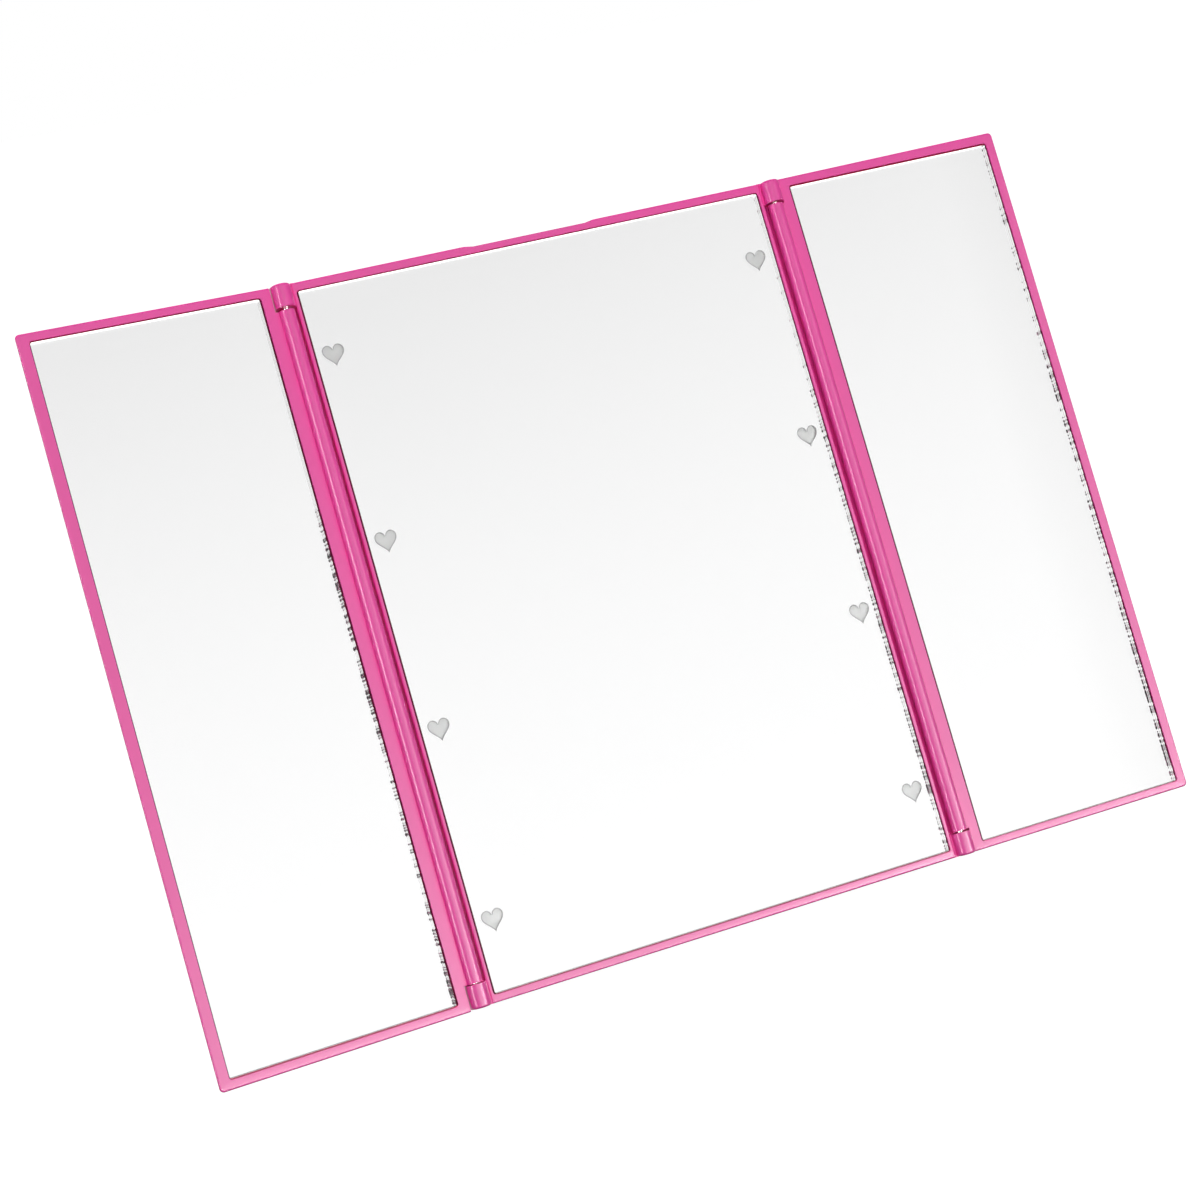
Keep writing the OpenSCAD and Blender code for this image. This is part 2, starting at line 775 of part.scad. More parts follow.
module battery_door() {
    top = door_z + door_len;
    color(pink) standing() {
        difference() {
            plate(case_d - door_t, case_d) door_outline(0, door_corner);
            for (side = [-1, 1]) {
                block(side * latch_w / 2 - latch_slot / 2, side * latch_w / 2 + latch_slot / 2,
                    case_d - door_t - over, case_d + over, top - latch_len, top + over);
            }
            for (i = [1:ridges]) {
                block(-latch_w / 2 + ridge_inset, latch_w / 2 - ridge_inset, case_d - ridge_d,
                    case_d + over, top - i * ridge_pitch - ridge_w, top - i * ridge_pitch);
            }
        }
        for (side = [-1, 1]) {
            x = side * tab_x;
            block(x - tab_w / 2, x + tab_w / 2, ledge_y - tab_t, case_d - door_t + merge,
                door_z, door_z + ledge - door_gap);
            block(x - tab_w / 2, x + tab_w / 2, ledge_y - tab_t, ledge_y - end_gap,
                door_z - tab_reach, door_z + ledge - door_gap);
        }
    }
}

// Batteries and contacts

// Turns every second cell over about the middle of the bay
module at_cells() {
    for (i = [0:cells - 1]) {
        x = (i - (cells - 1) / 2) * cell_pitch;
        if (i % 2 == 0) {
            translate([x, cell_y, bay_z]) children();
        } else {
            translate([x, cell_y, bay_z + bay_len]) mirror([0, 0, 1]) children();
        }
    }
}

cell_z = plate_t + spring_len + end_gap;

module batteries() {
    color([0.75, 0.76, 0.78]) standing() at_cells() translate([0, 0, cell_z]) {
        cylinder(h = cell_len - button_h, r = cell_d / 2);
        cylinder(h = cell_len - end_gap, r = button_r);
    }
}

// Cone spring under each cell: its radius shrinks evenly from plate to cell
spring_wire = 0.3;
spring_turns = 3;
spring_r = cell_d / 2 - 1.45;
spring_cone = 1.3;
spring_path = [
    for (i = [0:12 * spring_turns])
        let (t = i / (12 * spring_turns), r = spring_r - spring_cone * t)
        [r * cos(30 * i), r * sin(30 * i),
            plate_t + end_gap + spring_wire + t * (spring_len - 2 * (spring_wire + end_gap))]
];

module contact_springs() {
    color(steel) standing() at_cells() tube(spring_path, spring_wire, 6, [0, 0, 1]);
}

// Flat plates at both ends of the bay. The top ones bridge cells in pairs, the bottom ones
// bridge the inner pairs, and the two outer cells have a plate each, whose lug goes out
// through the side wall of the bay to its wire.
module contact_plates() {
    half = cell_pitch / 2 - plate_gap;
    span = (cells - 1) / 2 * cell_pitch;
    plate_half = cell_d / 2 - plate_inset;
    color(steel) standing() {
        for (i = [0:2:cells - 1]) {
            x = i * cell_pitch - span;
            x1 = i + 1 < cells ? x + cell_pitch : x;
            block(x - half, x1 + half, cell_y - plate_half, cell_y + plate_half,
                bay_z + bay_len - plate_t, bay_z + bay_len);
        }
        for (i = [1:2:cells - 2]) {
            x = i * cell_pitch - span;
            block(x - half, x + cell_pitch + half, cell_y - plate_half, cell_y + plate_half,
                bay_z, bay_z + plate_t);
        }
        for (side = [-1, 1]) {
            block(side * span - half, side * span + half, cell_y - plate_half,
                cell_y + plate_half, bay_z, bay_z + plate_t);
            mirror([side < 0 ? 1 : 0, 0, 0]) block(span, bay_w / 2 + bay_wall + lug_len,
                cell_y - lug_w / 2, cell_y + lug_w / 2, bay_z, bay_z + plate_t);
        }
    }
}

// Slide switch

module switch_body() {
    color(steel) standing() difference() {
        union() {
            block(switch_x - switch_w / 2, switch_x + switch_w / 2, switch_front, switch_back,
                switch_z - switch_len / 2, switch_z + switch_len / 2);
            for (z = switch_pins) {
                block(switch_x - switch_pin[0] / 2, switch_x + switch_pin[0] / 2,
                    switch_front - switch_pin[1], switch_front,
                    switch_z + z - switch_pin[2] / 2, switch_z + z + switch_pin[2] / 2);
            }
        }
        block(switch_x - stem_w / 2 - stem_gap, switch_x + stem_w / 2 + stem_gap,
            switch_back - stem_end - stem_room, switch_back + over,
            switch_z - stem_slot_half, switch_z + stem_slot_half);
    }
}

module switch_knob() {
    z = switch_z - switch_travel / 2;
    base = case_d - dish + knob_gap;
    top = case_d + knob_proud;
    color([0.95, 0.95, 0.96]) standing() difference() {
        union() {
            plate(base, top) round_rect(switch_x - knob_w / 2, switch_x + knob_w / 2,
                z - knob_len / 2, z + knob_len / 2, knob_corner);
            block(switch_x - stem_w / 2, switch_x + stem_w / 2, switch_back - stem_end, base + merge,
                z - stem_len / 2, z + stem_len / 2);
        }
        for (i = [-grip_pitch, 0, grip_pitch]) {
            block(switch_x - grip_half[0], switch_x + grip_half[0], top - grip_d, top + over,
                z + i - grip_half[1], z + i + grip_half[1]);
        }
    }
}

// Wires, each through round points set by hand between its soldered ends
wire_r = 0.6;
solder_gap = 0.1;
lug_x = bay_w / 2 + bay_wall + lug_len - 1;
lug_z = bay_z + plate_t + wire_r + solder_gap;
pad_x = heart_x - 1.35;
pad_y = board_y + board_t + wire_r + solder_gap;
pin_y = switch_front - wire_r - 0.4;
top_z = panel_h - 17;
wire_routes = [
    [[lug_x, cell_y, lug_z], [lug_x + 5, cell_y, lug_z + 1.6], [switch_x - 10, cell_y, switch_z - 14],
        [switch_x - 4, pin_y, switch_z - 6], [switch_x - 1, pin_y, switch_z - 3]],
    [[switch_x + 1, pin_y, switch_z + 4], [switch_x + 5, pin_y, switch_z + 6],
        [switch_x + 9, pin_y, switch_z + 5], [pad_x, pad_y, switch_z + 2]],
    [[-lug_x, cell_y, lug_z], [-lug_x - 6, cell_y, lug_z + 1.6], [-lug_x - 15, cell_y, lug_z + 6.6],
        [-pad_x + 10, cell_y, lug_z + 8.6], [-pad_x, pad_y, lug_z + 6.6]],
    [[-pad_x, pad_y, top_z - 7], [-pad_x + 6, cell_y, top_z - 4], [-pad_x + 22, cell_y, top_z - 1],
        [0, cell_y, top_z], [pad_x - 22, cell_y, top_z - 1], [pad_x - 6, cell_y, top_z - 4],
        [pad_x, pad_y, top_z - 7]]
];

module wires() {
    color([0.75, 0.1, 0.1]) standing() for (route = wire_routes) {
        tube(smooth(route), wire_r, 8, [0, 1, 0]);
    }
}

// Stand

// Folded in, the leaf hangs from its barrel, with three ribs on its hidden face. The heel above
// the barrel meets the recess floor when the leaf is open, and that is its stop.
module leaf_shape() {
    low = -leaf_len - leaf_foot;
    dish_half = leaf_w / 2 - leaf_edge;
    difference() {
        union() {
            plate(-leaf_inner, leaf_barrel_d / 2) leaf_outline(0, low, heel_len);
            rotate([0, 90, 0]) cylinder(h = leaf_w, r = leaf_barrel_d / 2, center = true);
            for (x = [-dish_half, 0, dish_half]) {
                block(x - leaf_rib_w / 2, x + leaf_rib_w / 2, -leaf_inner - leaf_rib_h,
                    -leaf_inner + merge, low + leaf_plain_end, -leaf_barrel_d);
            }
        }
        rod_y(0, low, -leaf_barrel_d, leaf_barrel_d, hold_r);
        plate(leaf_barrel_d / 2 - leaf_dish, leaf_barrel_d)
            round_rect(-dish_half, dish_half, low + leaf_plain_end,
                -leaf_barrel_d - leaf_dish_corner, leaf_dish_corner);
        rotate([0, 90, 0])
            cylinder(h = leaf_w + over, r = stand_pin_d / 2 + pin_gap, center = true);
    }
}

module stand_leaf() {
    color(pink) difference() {
        standing() translate([0, leaf_axis_y, stand_z]) rotate([open_angle, 0, 0]) leaf_shape();
        under_table();
    }
}

module stand_pin() {
    color(steel) standing() translate([0, leaf_axis_y, stand_z]) rotate([0, 90, 0])
        cylinder(h = stand_pin_len, r = stand_pin_d / 2, center = true);
}

// Wings, drawn for the right side and open flat; the left side is the mirror image

// Folds a wing forward about its hinge axis to its rest angle and sets its place along it
module fold(side) {
    rest = side < 0 ? left_rest : right_rest;
    shift = side < 0 ? -left_drop : 0;
    mirror([side < 0 ? 1 : 0, 0, 0]) translate([axis_x, -axis_front, shift])
        rotate([0, 0, -rest]) translate([-axis_x, axis_front, 0]) children();
}

wing_z0 = mirror_z - wing_edge;
wing_z1 = mirror_z + mirror_h + wing_edge;

// Slices of a wing: the free edges draw in by s[1], the hinge side by s[2]
module wing_loft(steps) {
    hull() {
        for (s = steps) {
            plate(s[0], s[0] + slice) corner_discs(wing_x0 + s[2], wing_x1 - s[1],
                wing_z0 + s[1], wing_z1 - s[1], max(frame_corner - s[1] / 2, min_r));
        }
    }
}

wing_front_steps = [
    for (a = [0:22.5:90]) [edge_round * (1 - sin(a)), edge_round * (1 - cos(a)), 0]
];
wing_back_steps = [
    for (a = [0:15:75]) [floor_y + (wing_back_t - slice) * sin(a) / sin(75),
        wing_bevel + wing_crown * (1 - cos(a)), 0.8 * (1 - cos(a))]
];

// Room at the two corners beside the centre knuckles
module knuckle_room() {
    for (z = [[-over, barrel_z0], [barrel_z1, panel_h + over]]) {
        block(axis_x, knuckle_clear_x, -over, floor_y + wing_back_t + over, z[0], z[1]);
    }
}

module wing_frame(side) {
    color(pink) standing() fold(side) difference() {
        union() {
            difference() {
                union() {
                    wing_loft(concat(wing_front_steps, [[floor_y - slice, wing_bevel, 0]]));
                    block(axis_x, wing_x0 + web_root, 0, barrel_d / 2 - axis_front - web_step,
                        barrel_z0, barrel_z1);
                }
                opening(wing_mirror_x, wing_mirror_x + wing_mirror_w, floor_y + over);
                knuckle_room();
            }
            translate([axis_x, -axis_front, barrel_z0])
                cylinder(h = barrel_z1 - barrel_z0, r = barrel_d / 2);
        }
        depth = pin_len - pin_in_knuckle + hinge_play;
        for (z = [barrel_z0 - over, barrel_z1 + over - depth]) {
            translate([axis_x, -axis_front, z]) cylinder(h = depth, r = pin_d / 2 + pin_gap);
        }
    }
}

module wing_back(side) {
    color(pink) standing() fold(side) difference() {
        wing_loft(wing_back_steps);
        knuckle_room();
    }
}

// Moves a wing mirror to where it is stuck in its opening
module stuck(side) {
    translate([wing_mirror_shift, 0, -side * wing_mirror_rise]) children();
}

module wing_glass(side) {
    color(clear) standing() fold(side) stuck(side)
        pane(wing_mirror_x, wing_mirror_x + wing_mirror_w, glass_y, silver_y);
}

module wing_silvering(side) {
    color(silver) standing() fold(side) stuck(side)
        pane(wing_mirror_x, wing_mirror_x + wing_mirror_w, silver_y, tape_y);
}

module wing_tape(side) {
    color("white") standing() fold(side)
        tape_strips(wing_mirror_x, wing_mirror_x + wing_mirror_w, 2, tape_inset);
}

// Two pins, each held in a knuckle and reaching into the barrel
module hinge_pins(side) {
    color(steel) standing() for (end = [0, 1]) {
        translate([side * axis_x, -axis_front, end * panel_h]) mirror([0, 0, end])
            translate([0, 0, knuckle_len - pin_in_knuckle]) cylinder(h = pin_len, r = pin_d / 2);
    }
}

module left_wing_frame() { wing_frame(-1); }
module right_wing_frame() { wing_frame(1); }
module left_wing_back() { wing_back(-1); }
module right_wing_back() { wing_back(1); }
module left_glass() { wing_glass(-1); }
module right_glass() { wing_glass(1); }
module left_silvering() { wing_silvering(-1); }
module right_silvering() { wing_silvering(1); }
module left_tape() { wing_tape(-1); }
module right_tape() { wing_tape(1); }
module left_hinge_pins() { hinge_pins(-1); }
module right_hinge_pins() { hinge_pins(1); }

centre_frame();
rear_cover();
centre_glass();
centre_silvering();
centre_tape();
heart_diffusers();
left_led_board();
right_led_board();
left_leds();
right_leds();
resistors();
board_screws();
cover_screws();
batteries();
contact_springs();
contact_plates();
switch_body();
switch_knob();
wires();
battery_door();
stand_leaf();
stand_pin();
left_hinge_pins();
right_hinge_pins();
left_wing_frame();
left_wing_back();
left_glass();
left_silvering();
left_tape();
right_wing_frame();
right_wing_back();
right_glass();
right_silvering();
right_tape();
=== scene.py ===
"""Looks of the tri-fold lighted makeup mirror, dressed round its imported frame.

Lengths are in metres in the frame's own axes. MM turns a maker's millimetres into metres.
"""
import json
import math

import bmesh
import bpy
import numpy as np
from mathutils import Matrix, Vector
from mathutils.geometry import delaunay_2d_cdt


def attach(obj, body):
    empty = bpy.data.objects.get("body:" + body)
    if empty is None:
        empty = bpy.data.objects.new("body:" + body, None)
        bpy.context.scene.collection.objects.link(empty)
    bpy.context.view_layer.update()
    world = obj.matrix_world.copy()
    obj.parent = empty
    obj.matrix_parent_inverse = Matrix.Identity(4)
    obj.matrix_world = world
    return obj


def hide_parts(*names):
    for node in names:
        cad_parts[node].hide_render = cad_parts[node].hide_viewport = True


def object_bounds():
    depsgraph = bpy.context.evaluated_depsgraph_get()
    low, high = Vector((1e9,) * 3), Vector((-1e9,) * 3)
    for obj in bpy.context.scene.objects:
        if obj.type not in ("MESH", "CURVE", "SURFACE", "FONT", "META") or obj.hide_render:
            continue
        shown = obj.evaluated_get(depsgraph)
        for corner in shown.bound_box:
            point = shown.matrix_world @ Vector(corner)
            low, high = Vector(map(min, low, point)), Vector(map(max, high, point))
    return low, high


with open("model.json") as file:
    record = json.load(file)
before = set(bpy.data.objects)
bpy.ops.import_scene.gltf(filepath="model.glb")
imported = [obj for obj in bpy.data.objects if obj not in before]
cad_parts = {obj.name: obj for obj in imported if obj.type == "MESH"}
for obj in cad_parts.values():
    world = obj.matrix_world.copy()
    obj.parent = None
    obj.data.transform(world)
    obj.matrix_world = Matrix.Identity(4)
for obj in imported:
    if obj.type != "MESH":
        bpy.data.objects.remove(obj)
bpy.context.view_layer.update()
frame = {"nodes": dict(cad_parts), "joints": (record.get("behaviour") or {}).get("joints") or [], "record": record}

MM = 0.001
JOINTS = {joint["name"]: joint for joint in frame["joints"]}

# The camera, fitted to the corners of the three mirrors in the photograph. Its lens and sensor
# are in millimetres.
CAMERA_PLACE = Vector((-0.2097, -0.5799, 0.26813))
CAMERA_AIM = Vector((-0.0102, 0.0197, 0.09443))
CAMERA_ROLL = math.radians(-9.8)
CAMERA_LENS = 71.74
CAMERA_SENSOR = 36.0
CAMERA_CLIP = 10 * MM


# Axes of the faces


def face_axes(side):
    """Across, depth and up of the centre panel (side 0) or of a wing (-1 or 1) as three columns."""
    up = Vector(JOINTS["left_wing_fold"]["axis"]).normalized()
    across = Vector((1, 0, 0))
    axes = Matrix((across, up.cross(across), up)).transposed()
    if side:
        fold = JOINTS["left_wing_fold" if side < 0 else "right_wing_fold"]
        rest = -math.radians(fold["range_deg"][0])
        axes = Matrix.Rotation(-side * rest, 3, up) @ axes
    return np.array(axes)


def node_points(node, axes):
    """The corner points of a node, measured along those axes."""
    mesh = frame["nodes"][node].data
    points = np.empty(len(mesh.vertices) * 3)
    mesh.vertices.foreach_get("co", points)
    return points.reshape(-1, 3) @ axes


def extent(node, axes):
    """Lowest and highest corner of a node, measured along those axes."""
    points = node_points(node, axes)
    return points.min(0), points.max(0)


# Meshes

# Points that lie closer together than this become one
MERGE_DISTANCE = 0.001 * MM

# Straight steps in each round corner of an outline
CORNER_STEPS = 5

# What the flat triangulation gives, the triangles inside the outline and outside its holes, and
# how close together, in millimetres, it takes two points for one
INSIDE_WITHOUT_HOLES = 2
FLAT_SLACK = 1e-5


def piece(name, points, faces, materials, body, picks=None):
    """A new object from points and faces, riding on a body. Picks gives each face its material."""
    mesh = bpy.data.meshes.new(name)
    mesh.from_pydata([tuple(p) for p in points], [], [tuple(f) for f in faces])
    for finish in materials:
        mesh.materials.append(finish)
    if picks is not None:
        mesh.polygons.foreach_set("material_index", np.asarray(picks, dtype=np.int32))
    form = bmesh.new()
    form.from_mesh(mesh)
    bmesh.ops.remove_doubles(form, verts=form.verts, dist=MERGE_DISTANCE)
    loose = [corner for corner in form.verts if not corner.link_faces]
    bmesh.ops.delete(form, geom=loose, context="VERTS")
    bmesh.ops.recalc_face_normals(form, faces=form.faces)
    form.to_mesh(mesh)
    form.free()
    made = bpy.data.objects.new(name, mesh)
    bpy.context.scene.collection.objects.link(made)
    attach(made, body)
    return made


def grid_faces(rows, columns, wrap_rows=False):
    """Quads between neighbouring rows of a grid whose columns go round and close."""
    row = np.arange(rows if wrap_rows else rows - 1)[:, None]
    column = np.arange(columns)[None, :]
    after = (row + 1) % rows
    right = (column + 1) % columns
    quads = [row * columns + column, row * columns + right, after * columns + right,
        after * columns + column]
    return np.stack([np.broadcast_to(q, (row.size, columns)) for q in quads], -1).reshape(-1, 4)


def rounded_outline(low, high, radius, step):
    """Points round a rectangle with round corners, anticlockwise, and the inward normal at each.

    Each side is a straight run at an even step, and each corner a quarter circle.
    """
    (x0, z0), (x1, z1) = low, high
    points, normals = [], []
    corners = [(x1 - radius, z0 + radius, -90), (x1 - radius, z1 - radius, 0),
        (x0 + radius, z1 - radius, 90), (x0 + radius, z0 + radius, 180)]
    for index, (cx, cz, start) in enumerate(corners):
        angle = np.radians(start + np.linspace(0, 90, CORNER_STEPS + 1))
        outward = np.stack([np.cos(angle), np.sin(angle)], 1)
        arc = np.array([cx, cz]) + radius * outward
        points.append(arc)
        normals.append(-outward)
        nx, nz, next_start = corners[(index + 1) % 4]
        first = np.radians(next_start)
        ahead = np.array([nx, nz]) + radius * np.array([np.cos(first), np.sin(first)])
        count = max(int(np.linalg.norm(ahead - arc[-1]) / step), 2)
        share = np.arange(1, count)[:, None] / count
        points.append(arc[-1] * (1 - share) + ahead * share)
        normals.append(np.repeat(-outward[-1:], count - 1, 0))
    return np.concatenate(points), np.concatenate(normals)


def band(loops, depths, axes):
    """Points of a surface through several loops of equal length, each at its own depth."""
    flat = np.array(loops)
    depth = np.array([np.broadcast_to(d, flat.shape[1]) for d in depths])
    return np.stack([flat[..., 0], depth, flat[..., 1]], -1).reshape(-1, 3) @ axes.T


def flat_region(outline, holes):
    """Corner points and triangles that fill an outline but not its holes."""
    loops = [outline] + holes
    starts = np.cumsum([0] + [len(loop) for loop in loops])
    borders = [list(range(a, b)) for a, b in zip(starts[:-1].tolist(), starts[1:].tolist())]
    corners = [Vector(p) for p in np.concatenate(loops) / MM]
    made = delaunay_2d_cdt(corners, [], borders, INSIDE_WITHOUT_HOLES, FLAT_SLACK)
    return np.array([tuple(v) for v in made[0]]) * MM, [list(face) for face in made[2]]


def thin_sheet(flat, triangles, front, back, axes):
    """A closed sheet from flat triangles: a front, a back, and a rim along their free edges.

    Picks are 0 for the front and 1 for the back and the rim.
    """
    count = len(flat)
    points = np.concatenate([np.insert(flat, 1, y, 1) for y in (front, back)]) @ axes.T
    sides = {}
    for corner in triangles:
        for a, b in zip(corner, corner[1:] + corner[:1]):
            sides[frozenset((a, b))] = None if frozenset((a, b)) in sides else (a, b)
    rim = [(a, b, b + count, a + count) for a, b in filter(None, sides.values())]
    faces = triangles + [[c + count for c in corner[::-1]] for corner in triangles] + rim
    return points, faces, [0] * len(triangles) + [1] * (len(faces) - len(triangles))


# Heart curve of the light windows

# How much taller the windows are than the plain curve, and the plain curve's width
HEART_STRETCH = 1.1
HEART_WIDTH = 32

# Points round a heart here, and round the plugs of the frame
HEART_POINTS = 72
PLUG_POINTS = 36

# A plug's front corners lie this close to the foremost one, and two windows at least this far
# apart up the panel
PLUG_FRONT = 0.01 * MM
WINDOW_SPACING = 10 * MM


def heart_outline(width, centre, count=HEART_POINTS):
    """The heart curve: x = 16 sin^3 t, z = 13 cos t - 5 cos 2t - 2 cos 3t - cos 4t, scaled.

    The windows are a little taller than that curve.
    """
    t = 2 * np.pi * (np.arange(count) + 0.5) / count
    x = 16 * np.sin(t) ** 3
    z = 13 * np.cos(t) - 5 * np.cos(2 * t) - 2 * np.cos(3 * t) - np.cos(4 * t)
    return centre + np.stack([x, HEART_STRETCH * z], 1) * width / HEART_WIDTH


def heart_centres():
    """Origin of each light window's curve, across and up the panel, and its width.

    The plugs' front corner points fall apart into one cluster for each window, with wide gaps
    up the panel between them.
    """
    points = node_points("heart_diffusers", face_axes(0))
    front = points[points[:, 1] < points[:, 1].min() + PLUG_FRONT][:, [0, 2]]
    drawn = heart_outline(1, np.zeros(2), PLUG_POINTS)
    found = []
    for side in (-1, 1):
        column = front[front[:, 0] * side > 0]
        column = column[np.argsort(column[:, 1])]
        cuts = np.nonzero(np.diff(column[:, 1]) > WINDOW_SPACING)[0] + 1
        for cluster in np.split(column, cuts):
            width = np.ptp(cluster[:, 0]) / np.ptp(drawn[:, 0])
            middle = (cluster.max(0) + cluster.min(0)) / 2
            found.append((middle - width * (drawn.max(0) + drawn.min(0)) / 2, width))
    return found


# Materials

# The light windows' lowest and highest place, between which their plugs' painted grey grows
# paler low down as painted light
WINDOWS_BOTTOM = 20 * MM
WINDOWS_TOP = 150 * MM


def linear(code):
    """sRGB hex colour as linear red, green, blue and alpha."""
    parts = [int(code[i : i + 2], 16) / 255 for i in (1, 3, 5)]
    return tuple(p / 12.92 if p <= 0.04045 else ((p + 0.055) / 1.055) ** 2.4 for p in parts) + (1,)


def add(tree, kind, settings=None, sockets=None):
    """Adds a node, sets its settings, and sets or links its sockets.

    A node that is given for a socket stands for that node's first output.
    """
    made = tree.nodes.new("ShaderNode" + kind)
    for name, value in (settings or {}).items():
        setattr(made, name, value)
    for name, value in (sockets or {}).items():
        if isinstance(value, bpy.types.Node):
            value = value.outputs[0]
        if isinstance(value, bpy.types.NodeSocket):
            tree.links.new(value, made.inputs[name])
        else:
            made.inputs[name].default_value = value
    return made


def material(name, build):
    """A node material. Its build function gets the tree and returns the shader."""
    made = bpy.data.materials.new(name)
    made.use_nodes = True
    tree = made.node_tree
    tree.nodes.clear()
    add(tree, "OutputMaterial", None, {"Surface": build(tree)})
    return made


def noise(tree, size, detail=2.0, stretch=(1, 1, 1)):
    """Noise between 0 and 1 whose blobs are about size metres across, on object coordinates."""
    place = add(tree, "TexCoord").outputs["Object"]
    scaled = add(tree, "Mapping", None, {"Vector": place, "Scale": stretch})
    return add(tree, "TexNoise", None, {"Vector": scaled, "Scale": 1 / size, "Detail": detail})


def blend(tree, share, first, second):
    """The colour that lies a share, from 0 to 1, of the way from one hex colour to another."""
    return add(tree, "Mix", {"data_type": "RGBA"},
        {"Factor": share, 6: linear(first), 7: linear(second)}).outputs[2]


def pink_abs(tree):
    """Injection-moulded ABS: hot pink with a soft gloss under a sharper skin.

    The flow of the melt leaves the colour a shade uneven over centimetres, and the polish of
    the mould wanders over millimetres. Its fine marks, drawn half a millimetre wide so that
    they show, break up the highlights.
    """
    polish = add(tree, "MapRange", None,
        {"Value": noise(tree, 3 * MM), "To Min": 0.40, "To Max": 0.48})
    marks = add(tree, "Bump", None, {"Height": noise(tree, 0.5 * MM, 3.0), "Distance": 0.006 * MM})
    return add(tree, "BsdfPrincipled", None, {
        "Base Color": blend(tree, noise(tree, 28 * MM), "#EC339E", "#F23AA3"),
        "Roughness": polish,
        "IOR": 1.54,
        "Specular IOR Level": 0.3,
        "Coat Weight": 0.25,
        "Coat Roughness": 0.16,
        "Coat IOR": 1.5,
        "Normal": marks,
    })


def float_glass(tree):
    """Float glass: clear and polished, without a tint at this thickness."""
    return add(tree, "BsdfPrincipled", None, {
        "Base Color": linear("#FFFFFF"),
        "Roughness": 0.0,
        "IOR": 1.52,
        "Transmission Weight": 1.0,
    })


def seam_painted_shade(first, second):
    """Painted shade: a dark sheet in the seam between the glass and its frame.

    It stands for the pink's shade down in the seam.
    """
    def build(tree):
        return add(tree, "BsdfPrincipled", None, {
            # Painted shade: a dark tone where the seam lies only in shade
            "Base Color": blend(tree, noise(tree, 1.5 * MM), first, second),
            "Roughness": 0.9,
            "Specular IOR Level": 0.1,
        })

    return build


def chip_shade_and_glint(tree):
    """Shell-shaped breaks in a pane's edge, about a millimetre wide, by turns dark and rosy.

    The dark is painted shade in the breaks and the rosy a painted glint.
    """
    shells = noise(tree, 0.9 * MM)
    steep = add(tree, "MapRange", None, {"Value": shells, "From Min": 0.44, "From Max": 0.58})
    return add(tree, "BsdfPrincipled", None, {
        # Painted shade and painted glint: dark in the breaks, rosy where they catch the light
        "Base Color": blend(tree, steep, "#2A1820", "#9A7888"),
        "Roughness": 0.25,
        "IOR": 1.52,
        "Normal": add(tree, "Bump", None, {"Height": shells, "Distance": 0.1 * MM}),
    })


def silver(tree):
    """Chemically deposited silver behind glass: almost all light comes back, without a tint."""
    return add(tree, "BsdfPrincipled", None, {
        "Base Color": linear("#FAFAFA"),
        "Metallic": 1.0,
        "Roughness": 0.015,
    })


def shaded_frosted_acrylic(tree):
    """Opal acrylic with a sand-blasted face: matt, painted grey, a little paler low down.

    The grey is painted shade on plugs that are white, and the paler foot is painted light.
    """
    place = add(tree, "TexCoord").outputs["Object"]
    height = add(tree, "SeparateXYZ", None, {0: place}).outputs[2]
    # Painted light: the plugs grow paler towards the bottom of the windows
    low = add(tree, "MapRange", None,
        {"Value": height, "From Min": WINDOWS_TOP, "From Max": WINDOWS_BOTTOM})
    return add(tree, "BsdfPrincipled", None, {
        # Painted shade: the white plugs are drawn grey for the dim light behind the glass
        "Base Color": blend(tree, low, "#ACADAC", "#BEBFBE"),
        "Roughness": 0.6,
        "IOR": 1.49,
        "Normal": add(tree, "Bump", None,
            {"Height": noise(tree, 0.2 * MM), "Distance": 0.005 * MM}),
    })


def backing_paint(tree):
    """Grey mirror-backing lacquer, sprayed, on the back of the silver coat; the hearts' rings use it too."""
    return add(tree, "BsdfPrincipled", None, {
        "Base Color": blend(tree, noise(tree, 0.4 * MM), "#808080", "#949494"),
        "Roughness": 0.5,
    })


def foam(tree):
    """White polyethylene foam tape with fine open cells."""
    cells = noise(tree, 0.3 * MM, 4.0)
    return add(tree, "BsdfPrincipled", None, {
        "Base Color": blend(tree, cells, "#E2E2DF", "#F4F4F2"),
        "Roughness": 0.9,
        "Normal": add(tree, "Bump", None, {"Height": cells, "Distance": 0.05 * MM}),
    })


def solder_mask(tree):
    """Green solder mask, printed and cured over glass-fibre board."""
    return add(tree, "BsdfPrincipled", None, {
        "Base Color": blend(tree, noise(tree, 1.0 * MM, 4.0), "#175A2D", "#237A40"),
        "Roughness": 0.32,
    })


def lamp_case(tree):
    """White moulded lamp case with a warm phosphor lens."""
    return add(tree, "BsdfPrincipled", None, {
        "Base Color": blend(tree, noise(tree, 0.8 * MM), "#FFF4CE", "#FFFAE8"),
        "Roughness": 0.25,
    })


def resistor_lacquer(tree):
    """Beige lacquer, dipped, on a film resistor."""
    return add(tree, "BsdfPrincipled", None, {
        "Base Color": blend(tree, noise(tree, 1.5 * MM), "#C9AE86", "#D8C09A"),
        "Roughness": 0.4,
    })


def zinc_plate(tree):
    """Zinc-plated steel: cool grey, with the drag of tooling along it."""
    drag = noise(tree, 0.6 * MM, 3.0, (1, 1, 0.1))
    return add(tree, "BsdfPrincipled", None, {
        "Base Color": blend(tree, drag, "#B9BBBF", "#D0D2D4"),
        "Metallic": 1.0,
        "Roughness": add(tree, "MapRange", None, {"Value": drag, "To Min": 0.25, "To Max": 0.42}),
        "Normal": add(tree, "Bump", None, {"Height": drag, "Distance": 0.004 * MM}),
    })


